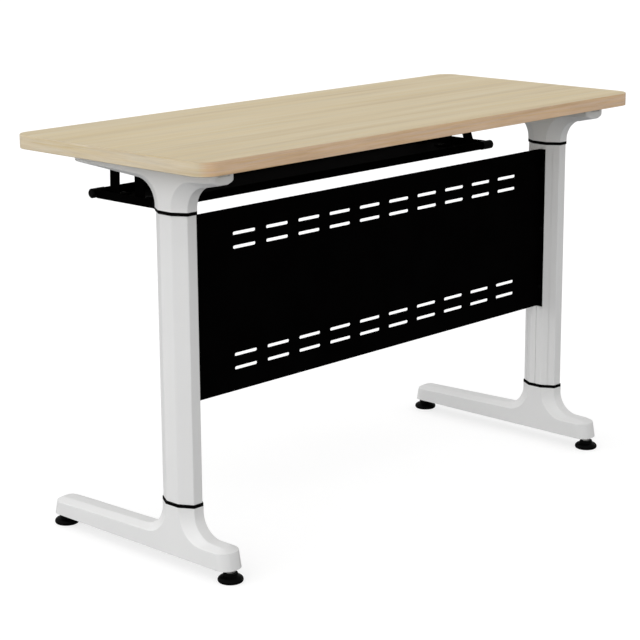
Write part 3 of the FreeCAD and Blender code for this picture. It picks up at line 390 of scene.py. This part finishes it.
def castingRows(inner, outer, neck):
    # walk across the casting from one side face to the other at each outline point
    half, crest, steps = casting["halfWidth"], casting["crestHalf"], casting["roundSteps"]
    rows = []
    for (iy, iz), (oy, oz), step in zip(inner, outer, inward(inner)):
        ease = abs(iz - neck) / casting["easeRun"]  # crisper rounds towards the neck
        ease = min(1.0, max(casting["easeLeast"], ease))
        near, far = Vector((half, iy, iz)), Vector((crest, oy, oz))
        length = (far - near).length
        edge, top = casting["edgeRound"] * ease, casting["crestRound"] * ease
        start = near + Vector((0, step.x, step.y)) * edge
        low = near.lerp(far, min(casting["roundShare"], edge / length))
        high = near.lerp(far, 1 - min(casting["roundShare"], top / length))
        last = Vector((crest - min(top, crest * casting["crestShare"]), oy, oz))
        flank = [curveStep(start, near, low, i / steps) for i in range(steps)]
        flank += [low.lerp(high, i / casting["bevelSteps"]) for i in range(casting["bevelSteps"])]
        flank += [curveStep(high, far, last, i / steps) for i in range(steps + 1)]
        across = [last.lerp(Vector((-last.x, oy, oz)), i / casting["crestSteps"])
                  for i in range(1, casting["crestSteps"])]
        rows.append(flank + across + [Vector((-p.x, p.y, p.z)) for p in reversed(flank)])
    return rows


def planRound(point, shape):
    # round the ends of the casting as seen from above
    half, corner = casting["halfWidth"], shape["planCorner"]
    over = max(0.0, abs(point.x) - (half - corner))
    back = corner - math.sqrt(max(0.0, corner ** 2 - over ** 2))
    for end, way in ((shape["near"], 1), (shape["far"], -1)):
        reach = (point.y - end) * way
        weight = min(1.0, max(0.0, 1 - (reach - casting["planHold"]) / shape["planFade"]))
        weight = weight * weight * (3 - 2 * weight)
        point.y += way * back * weight
    return noseBevel(point, shape) if "noseRise" in shape else point


def noseBevel(point, shape):
    # carry the side bevel round the ends of the casting
    half, corner, inner = casting["halfWidth"], shape["planCorner"], shape["inner"]
    for end, way, level in ((shape["near"] + shape["draft"], 1, inner["nearCrown"]),
                            (shape["far"] - shape["draft"], -1, inner["farCrown"])):
        back = (point.y - end) * way
        if back < corner:
            aside = max(0.0, abs(point.x) - (half - corner))
            depth = max(0.0, corner - math.hypot(aside, corner - back))
            point.z = min(point.z, level + shape["noseRise"] * depth)
    return point


def addBox(work, low, high):
    made = bmesh.ops.create_cube(work, size=1)["verts"]
    for vert in made:
        vert.co = Vector([low[i] + (high[i] - low[i]) * (vert.co[i] + 0.5) for i in range(3)])


def addRod(work, start, radius, length, axis="z", segments=40):
    turn = Matrix.Rotation(math.pi / 2, 4, "Y") if axis == "x" else Matrix()
    made = bmesh.ops.create_cone(work, cap_ends=True, segments=segments, radius1=radius,
                                 radius2=radius, depth=length)["verts"]
    middle = Vector(start) + (Vector((length / 2, 0, 0)) if axis == "x" else Vector((0, 0, length / 2)))
    for vert in made:
        vert.co = turn @ vert.co + middle


def footTools(work, sign):
    # the same under both legs, so the sign isn't used
    low = foot["base"] - casting["overcut"]
    half, mid, gap, roof = foot["hollowHalf"], leg["centreY"], foot["hollowGap"], foot["hollowRoof"]
    addBox(work, (-half, foot["hollowNear"], low), (half, mid - gap, roof))
    addBox(work, (-half, mid + gap, low), (half, foot["hollowFar"], roof))
    addRod(work, (0, mid, low), foot["wellRadius"], foot["wellRoof"] - low)
    for y in leg["glides"].values():
        addRod(work, (0, y, low), foot["socketRadius"], foot["socketRoof"] - low)


def armTools(work, sign):
    over = casting["overcut"]
    high, reach = arm["top"] + over, casting["halfWidth"] + over
    slot, back, lug = arm["slotHalf"], arm["slotBack"], arm["lugLength"] / 2
    addBox(work, (-slot, arm["near"] + arm["frontWall"], arm["slotFloor"]), (slot, back, high))
    addBox(work, (-slot, arm["near"] - over, arm["wallTop"]), (slot, back - casting["lap"], high))
    pin = (arm["pinSkin"] - casting["halfWidth"], reach)
    addBox(work, (-arm["lugHalf"], arm["lockY"] - lug, arm["lugFloor"]),
           (arm["lugHalf"], arm["lockY"] + lug, high))
    runs = [(pin, arm["hinge"][0], arm["hinge"][1], arm["pinRadius"]),
            ((0, reach), arm["lockY"], arm["lockZ"], arm["bushRadius"]),
            ((-arm["boltReach"], 0), arm["lockY"], arm["lockZ"], arm["boltRadius"])]
    for (a, b), y, z, radius in runs:
        start = min(-sign * a, -sign * b)
        addRod(work, (start, y, z), radius, b - a, "x")
    for y in arm["bumpers"]:
        addRod(work, (0, y, arm["bumperFloor"]), arm["bumperRadius"], high - arm["bumperFloor"])


def plainMesh(name, work, at):
    mesh = bpy.data.meshes.new(name)
    work.to_mesh(mesh)
    work.free()
    mesh.transform(Matrix.Scale(mm, 4) @ Matrix.Translation(at))
    return mesh


def finished(name, mesh, cutters=(), angle=sharpAngle):
    # cut the hollows, weight the normals, and hand back a plain mesh
    holder = bpy.data.objects.new(name + "Holder", mesh)
    scene.collection.objects.link(holder)
    tools = []
    for cutter in cutters:
        tool = bpy.data.objects.new(name + "Tool", cutter)
        scene.collection.objects.link(tool)
        tools.append(tool)
        step = holder.modifiers.new("hollow", "BOOLEAN")
        step.operation, step.solver, step.object = "DIFFERENCE", "EXACT", tool
        step.use_self = True
    mesh.shade_smooth()
    depsgraph = bpy.context.evaluated_depsgraph_get()
    cut = bpy.data.meshes.new_from_object(holder.evaluated_get(depsgraph), depsgraph=depsgraph)
    holder.modifiers.clear()
    holder.data = cut
    cut.shade_smooth()
    cut.set_sharp_from_angle(angle=math.radians(angle))
    weigh = holder.modifiers.new("weigh", "WEIGHTED_NORMAL")
    weigh.keep_sharp = True
    depsgraph = bpy.context.evaluated_depsgraph_get()
    done = bpy.data.meshes.new_from_object(holder.evaluated_get(depsgraph), depsgraph=depsgraph)
    done.name = name
    for item in [holder] + tools:
        bpy.data.objects.remove(item)
    return done


def makeCasting(name, side, shape, loop, tools):
    rows = castingRows(loop(shape["inner"]), loop(shape["outer"]), shape["neck"])
    work = bmesh.new()
    grid = [[work.verts.new(planRound(p, shape)) for p in row] for row in rows]
    count, width = len(grid), len(grid[0])
    for i in range(count):
        for j in range(width - 1):
            work.faces.new((grid[i][j], grid[(i + 1) % count][j], grid[(i + 1) % count][j + 1],
                            grid[i][j + 1]))
    work.faces.new([row[0] for row in grid])
    work.faces.new([row[-1] for row in grid])
    bmesh.ops.remove_doubles(work, verts=work.verts, dist=casting["weld"])
    bmesh.ops.recalc_face_normals(work, faces=work.faces)
    at = Vector((sides[side] * leg["offset"], 0, 0))
    cutter = bmesh.new()
    tools(cutter, sides[side])
    return finished(name, plainMesh(name, work, at), [plainMesh(name + "Hollow", cutter, at)])


for side in sides:
    mesh = makeCasting(f"footCasting_{side}", side, foot, footLoop, footTools)
    addPiece(f"footCasting_{side}", mesh, "frame", "white_casting", f"foot_{side}")
    mesh = makeCasting(f"armCasting_{side}", side, arm, armLoop, armTools)
    addPiece(f"armCasting_{side}", mesh, "frame", "white_casting", f"arm_{side}")
print("stage: castings made")

column = {
    "halfWidth": 25, "halfDepth": 40, "frontHalf": 10.5, "sideHalf": 15, "base": 123.6, "top": 638.9,
    "cornerRound": 1.6, "grooveWidth": 1.8, "grooveDepth": 1.2, "sharpAngle": 40,
}
gasket = {"proud": 1.6, "frontShare": 0.4, "sideShare": 0.6, "lower": 117.4, "upper": 638.9,
          "thickness": 6.2, "lip": 0.35, "cornerRound": 1.2}


def roundedLoop(corners, radii, steps=4):
    # closed outline with every corner eased by its own radius
    loop = []
    for i, (corner, radius) in enumerate(zip(corners, radii)):
        here = Vector(corner)
        before, after = Vector(corners[i - 1]) - here, Vector(corners[(i + 1) % len(corners)]) - here
        start, stop = here + before.normalized() * radius, here + after.normalized() * radius
        loop += [curveStep(start, here, stop, k / steps) for k in range(steps + 1)]
    return loop


def eightSides(proud):
    width, depth = column["halfWidth"] + proud, column["halfDepth"] + proud
    front = column["frontHalf"] + proud * gasket["frontShare"]
    flank = column["sideHalf"] + proud * gasket["sideShare"]
    return [(front, -depth), (width, -flank), (width, flank), (front, depth),
            (-front, depth), (-width, flank), (-width, -flank), (-front, -depth)]


def withGrooves(loop):
    # one fine groove down the middle of the three inboard faces
    corners, onFace = eightSides(0), 0.01
    wide, deep = column["grooveWidth"] / 2, column["grooveDepth"]
    result = list(loop)
    for a, b in ((0, 1), (1, 2), (2, 3)):
        one, two = Vector(corners[a]), Vector(corners[b])
        along = (two - one).normalized()
        inside = Vector((-along.y, along.x))
        middle = (one + two) / 2
        notch = [middle - along * wide, middle - along * wide + inside * deep,
                 middle + along * wide + inside * deep, middle + along * wide]
        place = next(i for i, p in enumerate(result)
                     if (p - middle).dot(along) < 0 < (result[(i + 1) % len(result)] - middle).dot(along)
                     and abs((p - one).dot(inside)) < onFace)
        result[place + 1:place + 1] = notch
    return result


def stacked(loop, levels, side):
    # levels are (height, how far the outline is drawn in)
    work = bmesh.new()
    rings = []
    for height, drawn in levels:
        ring = []
        for p in loop:
            scale = 1 - drawn / max(1.0, p.length)
            ring.append(work.verts.new((-sides[side] * p.x * scale, p.y * scale, height)))
        rings.append(ring)
    for low, high in zip(rings, rings[1:]):
        for i in range(len(loop)):
            k = (i + 1) % len(loop)
            work.faces.new((low[i], low[k], high[k], high[i]))
    work.faces.new(rings[0])
    work.faces.new(rings[-1])
    bmesh.ops.recalc_face_normals(work, faces=work.faces)
    return work


for side in sides:
    at = Vector((sides[side] * leg["offset"], leg["centreY"], 0))
    loop = withGrooves(roundedLoop(eightSides(0), [column["cornerRound"]] * 8))
    tube = plainMesh("tube", stacked(loop, [(column["base"], 0), (column["top"], 0)], side), at)
    mesh = finished(f"columnTube_{side}", tube, angle=column["sharpAngle"])
    addPiece(f"columnTube_{side}", mesh, "frame", "white_extrusion", f"column_{side}")
    loop = roundedLoop(eightSides(gasket["proud"]), [gasket["cornerRound"]] * 8)
    for level in ("lower", "upper"):
        base, tall, lip = gasket[level], gasket["thickness"], gasket["lip"]
        levels = [(base, lip), (base + lip, 0), (base + tall - lip, 0), (base + tall, lip)]
        mesh = finished(f"gasketRing_{level}_{side}", plainMesh("ring", stacked(loop, levels, side), at))
        addPiece(f"gasketRing_{level}_{side}", mesh, "frame", "black_gasket", f"gasket_{level}_{side}")
print("stage: columns and gaskets made")


def turned(profile, steps=36):
    # lathe a (radius, height) outline round the z axis; a ring finer than the pole is one point
    work, rings, pole = bmesh.new(), [], 0.001
    for radius, height in profile:
        turns = [2 * math.pi * i / steps for i in range(steps)] if radius > pole else [0]
        rings.append([work.verts.new((radius * math.cos(a), radius * math.sin(a), height)) for a in turns])
    for low, high in zip(rings, rings[1:]):
        for i in range(steps):
            corners = [ring[k % len(ring)] for ring, k in
                       ((low, i), (low, (i + 1) % steps), (high, (i + 1) % steps), (high, i))]
            work.faces.new(list(dict.fromkeys(corners)))
    bmesh.ops.recalc_face_normals(work, faces=work.faces)
    return work


def repeatTree():
    # one unit on every point, each spun by its own chance angle about its axis
    tree = bpy.data.node_groups.new("repeatOnPoints", "GeometryNodeTree")
    tree.interface.new_socket("Geometry", in_out="OUTPUT", socket_type="NodeSocketGeometry")
    keys = {}
    for label, kind in (("Points", "Geometry"), ("Unit", "Object"), ("Facing", "Vector"),
                        ("Spin", "Float"), ("Seed", "Int"), ("Finish", "Material")):
        socket = tree.interface.new_socket(label, in_out="INPUT", socket_type="NodeSocket" + kind)
        keys[label] = socket.identifier
    start, stop, unit, facing, chance, spin, put, turn, solid, paint = (tree.nodes.new(kind) for kind in (
        "NodeGroupInput", "NodeGroupOutput", "GeometryNodeObjectInfo", "FunctionNodeEulerToRotation",
        "FunctionNodeRandomValue", "ShaderNodeCombineXYZ", "GeometryNodeInstanceOnPoints",
        "GeometryNodeRotateInstances", "GeometryNodeRealizeInstances", "GeometryNodeSetMaterial"))
    chance.data_type = "FLOAT"
    low, high = [socket for socket in chance.inputs if socket.enabled][:2]
    low.default_value = 0
    value = next(socket for socket in chance.outputs if socket.enabled)
    for source, target in (
            (start.outputs["Unit"], unit.inputs["Object"]), (start.outputs["Facing"], facing.inputs[0]),
            (start.outputs["Spin"], high), (start.outputs["Seed"], chance.inputs["Seed"]),
            (value, spin.inputs["Z"]), (start.outputs["Points"], put.inputs["Points"]),
            (unit.outputs["Geometry"], put.inputs["Instance"]), (facing.outputs[0], put.inputs["Rotation"]),
            (put.outputs[0], turn.inputs["Instances"]), (spin.outputs[0], turn.inputs["Rotation"]),
            (turn.outputs[0], solid.inputs[0]), (solid.outputs[0], paint.inputs["Geometry"]),
            (start.outputs["Finish"], paint.inputs["Material"]), (paint.outputs[0], stop.inputs[0])):
        tree.links.new(source, target)
    return tree, keys


repeats, repeatKeys = repeatTree()
firstSeed = 7


def repeated(name, unit, groups, slot, spin=2 * math.pi):
    # groups are (facing, points); the result is one plain mesh
    unitObject = bpy.data.objects.new(name + "Unit", unit)
    scene.collection.objects.link(unitObject)
    work = bmesh.new()
    for number, (facing, points) in enumerate(groups):
        mesh = bpy.data.meshes.new(name + "Points")
        mesh.from_pydata([Vector(p) * mm for p in points], [], [])
        holder = bpy.data.objects.new(name + "Holder", mesh)
        step = holder.modifiers.new("repeat", "NODES")
        step.node_group = repeats
        for label, value in (("Unit", unitObject), ("Facing", facing), ("Spin", spin),
                             ("Seed", firstSeed + number), ("Finish", finishes[slot])):
            step[repeatKeys[label]] = value
        scene.collection.objects.link(holder)
        depsgraph = bpy.context.evaluated_depsgraph_get()
        made = bpy.data.meshes.new_from_object(holder.evaluated_get(depsgraph), depsgraph=depsgraph)
        work.from_mesh(made)
        holder.modifiers.clear()
        bpy.data.objects.remove(holder)
        bpy.data.meshes.remove(made)
    bpy.data.objects.remove(unitObject)
    result = bpy.data.meshes.new(name)
    work.to_mesh(result)
    work.free()
    result.shade_smooth()
    result.set_sharp_from_angle(angle=math.radians(sharpAngle))
    return result


def spotsOn(look):
    # seats of a set that is the same on both sides of the table
    return [(sign * x, y, look["seat"])
            for sign in sides.values() for x in look["across"] for y in look["along"]]


def fastener(name, look):
    # turned head and shank, with a cross cut where the look has one
    cutters = []
    if "cross" in look:
        wide, reach, deep = look["cross"]
        crown = max(height for radius, height in look["profile"])
        bottom, clear = crown - deep, crown + wide
        cutter = bmesh.new()
        addBox(cutter, (-reach, -wide, bottom), (reach, wide, clear))
        addBox(cutter, (-wide, -reach, bottom), (wide, reach, clear))
        cutters.append(plainMesh(name + "Cross", cutter, Vector()))
    return finished(name, plainMesh(name, turned(look["profile"]), Vector()), cutters)


upward, downward = (0, 0, 0), (math.pi, 0, 0)
rightward, leftward, frontward = (0, math.pi / 2, 0), (0, -math.pi / 2, 0), (math.pi / 2, 0, 0)
panelScrew = {
    "profile": oval((0, 0), (4.5, 1.6), 90, 0, 6, 3) + [(2.5, 0), (2.5, -9.4), (2.1, -10), (0, -10)],
    "cross": (0.5, 2.1, 1.1), "x": 495.5, "y": -106, "heights": (337, 462, 587),
}
mesh = repeated("panelScrewSet", fastener("panelScrew", panelScrew), [
    (facing, [(x, panelScrew["y"], z) for z in panelScrew["heights"]])
    for facing, x in ((rightward, -panelScrew["x"]), (leftward, panelScrew["x"]))], "black_fixing")
addPiece("panelScrewSet", mesh, "frame", "black_fixing", "panel_screws")

shelfScrew = {
    "profile": oval((0, 0), (4, 2), 90, 0, 6, 3) + [(2, 0), (2, -12.5), (0.5, -15), (0, -15)],
    "cross": (0.5, 2, 1.3), "across": (411, 423), "along": (70, 98, 164), "seat": 722,
}
groups = [(downward, spotsOn(shelfScrew))]
mesh = repeated("shelfScrewSet", fastener("shelfScrew", shelfScrew), groups, "black_fixing")
addPiece("shelfScrewSet", mesh, "top", "black_fixing", "shelf_screws")

shelfRivet = {
    "profile": ([(0, 0.7), (1.05, 0.7)] + oval((0, 0), (4.5, 1.5), 75, 0, 6) + [(2.4, 0), (2.4, -4.5)]
                + oval((0, -4.5), (4.5, 1.5), 0, -90, 6)),
    "across": (411, 423), "along": (33, 98, 167), "seat": 627.7,
}
groups = [(upward, spotsOn(shelfRivet))]
mesh = repeated("shelfRivetSet", fastener("shelfRivet", shelfRivet), groups, "black_fixing")
addPiece("shelfRivetSet", mesh, "top", "black_fixing", "shelf_rivets")

plateScrew = {
    "profile": [(0, 0), (4.3, 0), (4.5, -0.25), (2, -3), (2, -15.5), (0.5, -18), (0, -18)],
    "cross": (0.55, 2.3, 1.4), "aside": 15, "first": -176, "pitch": 98, "count": 4, "seat": 722,
}
spots = [(sign * leg["offset"] + way * plateScrew["aside"],
          plateScrew["first"] + i * plateScrew["pitch"], plateScrew["seat"])
         for sign in sides.values() for way in (-1, 1) for i in range(plateScrew["count"])]
mesh = repeated("plateScrewSet", fastener("plateScrew", plateScrew), [(downward, spots)], "steel")
addPiece("plateScrewSet", mesh, "top", "steel", "hinge_plate_screws")
print("stage: screws and rivets made")

panel = {
    "half": 497, "lip": -113, "face": -98.75, "back": -97.25, "sheet": 1.5, "base": 295, "top": 629,
    "fold": 2, "crease": 0.8, "burr": 0.3, "slot": (56, 6), "shift": 12.5, "pitch": 83, "columns": 10,
    "rows": (336.8, 361.8, 557.8, 582.8), "hole": 2.8, "punch": 4, "endSteps": 12, "holeSteps": 24,
}


def foldedSheet():
    # the sheet with a lip turned forward at each end
    half, inner = panel["half"], panel["half"] - panel["sheet"]
    lip, face, back = panel["lip"], panel["face"], panel["back"]
    section = [(-half, lip), (-inner, lip), (-inner, face), (inner, face),
               (inner, lip), (half, lip), (half, back), (-half, back)]
    burr, crease, fold = panel["burr"], panel["crease"], panel["fold"]
    section = roundedLoop(section, [burr, burr, crease, crease, burr, burr, fold, fold])
    return plainMesh("sheet", stacked(section, [(panel["base"], 0), (panel["top"], 0)], "left"), Vector())


def panelSlots():
    # round-ended punches in columns and rows
    long, tall = panel["slot"]
    radius, punch, steps = tall / 2, panel["punch"], panel["endSteps"]
    flat = long / 2 - radius
    outline = arc((flat, 0), radius, -90, 90, steps) + arc((-flat, 0), radius, 90, 270, steps)
    unit = stacked([Vector(p) for p in outline], [(-punch, 0), (punch, 0)], "left")
    first = panel["shift"] - panel["pitch"] * (panel["columns"] - 1) / 2
    spots = [(first + i * panel["pitch"], panel["back"], z)
             for i in range(panel["columns"]) for z in panel["rows"]]
    return repeated("panelSlots", plainMesh("slot", unit, Vector()), [(frontward, spots)], "black_sheet", 0)


def panelHoles():
    # through the lips, where the panel screws pass
    drill = bmesh.new()
    for z in panelScrew["heights"]:
        for x in (-panel["half"], panel["half"]):
            addRod(drill, (x - panel["punch"], panelScrew["y"], z), panel["hole"], 2 * panel["punch"], "x",
                   panel["holeSteps"])
    return plainMesh("drill", drill, Vector())


mesh = finished("modestyPanel", foldedSheet(), [panelSlots(), panelHoles()])
addPiece("modestyPanel", mesh, "frame", "black_sheet", "modesty_panel")
print("stage: panel made")

glide = {
    "profile": ([(0, 0)] + oval((19.6, 4.3), (3.4, 4.3), -90, 0, 5) + oval((13, 4.3), (10, 7.2), 10, 70, 6)
                + arc((14.6, 13.2), 1.6, 250, 180, 3) + arc((12.1, 16.1), 0.9, 0, 90, 3) + [(0, 17)]),
    "steps": 72,
}
for side, sign in sides.items():
    for end, y in leg["glides"].items():
        name, work = f"glideFoot_{end}_{side}", turned(glide["profile"], glide["steps"])
        mesh = finished(name, plainMesh(name, work, Vector((sign * leg["offset"], y, 0))))
        addPiece(name, mesh, f"glide_{end}_{side}", "black_plastic", f"glide_pad_{end}_{side}")
print("stage: glides made")

floorLook = {"size": 60.0, "pale": (0.36, 0.36, 0.36), "dull": (0.345, 0.345, 0.345), "lift": 0.7,
             "cloud": 3, "roughness": 0.9, "specular": 0.1}


def onCameraRays(tree):
    return addNode(tree, "LightPath").outputs["Is Camera Ray"]


def paleFloor():
    # matt and pale, and lifted to white where it is looked at directly
    material, tree, shader = startMaterial("paleFloor")
    cloud = noise(tree, coords(tree), floorLook["cloud"], detail=3)
    tree.links.new(ramp(tree, cloud, [(0.3, floorLook["dull"]), (0.7, floorLook["pale"])]),
                   shader.inputs["Base Color"])
    shader.inputs["Roughness"].default_value = floorLook["roughness"]
    shader.inputs["Specular IOR Level"].default_value = floorLook["specular"]
    shader.inputs["Emission Color"].default_value = (1, 1, 1, 1)
    tree.links.new(span(tree, onCameraRays(tree), 0, floorLook["lift"]), shader.inputs["Emission Strength"])
    return material


reach = floorLook["size"]
floorMesh = bpy.data.meshes.new("studioFloor")
floorMesh.from_pydata([(-reach, -reach, 0), (reach, -reach, 0), (reach, reach, 0), (-reach, reach, 0)],
                      [], [(0, 1, 2, 3)])
floorMesh.materials.append(paleFloor())
floor = bpy.data.objects.new("studioFloor", floorMesh)
scene.collection.objects.link(floor)

studio = {"sky": 0.81, "leftGlow": 1.13, "backdrop": (1, 1, 1, 1)}
sideLamp = {"from": (-0.6, 0.6, 0.53), "distance": 5, "spread": 40, "power": 0.185}


def softSky():
    # even light that grows towards the left, with a plain white backdrop behind the table
    world = bpy.data.worlds.new("studioSky")
    world.use_nodes = True
    tree, sky = world.node_tree, world.node_tree.nodes["Background"]
    parts = addNode(tree, "SeparateXYZ")
    tree.links.new(addNode(tree, "TexCoord").outputs["Generated"], parts.inputs["Vector"])
    glow = span(tree, parts.outputs["X"], studio["sky"], studio["sky"] + studio["leftGlow"], 0, -1)
    tree.links.new(blend(tree, glow, studio["backdrop"], onCameraRays(tree)), sky.inputs["Color"])
    return world


scene.world = softSky()
light = bpy.data.lights.new("sideLamp", "SUN")
light.angle, light.energy = math.radians(sideLamp["spread"]), sideLamp["power"]
lamp = bpy.data.objects.new("sideLamp", light)
lamp.location = Vector(sideLamp["from"]) * sideLamp["distance"]
lamp.rotation_euler = (-Vector(sideLamp["from"])).to_track_quat("-Z", "Y").to_euler()
scene.collection.objects.link(lamp)
scene.view_settings.view_transform = "Standard"

shot = {"at": (-2.7361, -2.5485, 1.2641), "heading": -46.352, "pitch": 13.908, "roll": -0.357,
        "lens": 110.19, "sensor": 36}
lens = bpy.data.cameras.new("photoCamera")
lens.lens, lens.sensor_width, lens.sensor_fit = shot["lens"], shot["sensor"], "HORIZONTAL"
camera = bpy.data.objects.new("photoCamera", lens)
turn = (Matrix.Rotation(math.radians(shot["heading"]), 3, "Z")
        @ Matrix.Rotation(math.radians(90 - shot["pitch"]), 3, "X")
        @ Matrix.Rotation(math.radians(shot["roll"]), 3, "Z"))
camera.location, camera.rotation_euler = shot["at"], turn.to_euler()
scene.collection.objects.link(camera)
scene.camera = camera
print("stage: studio made")

bpy.context.view_layer.update()
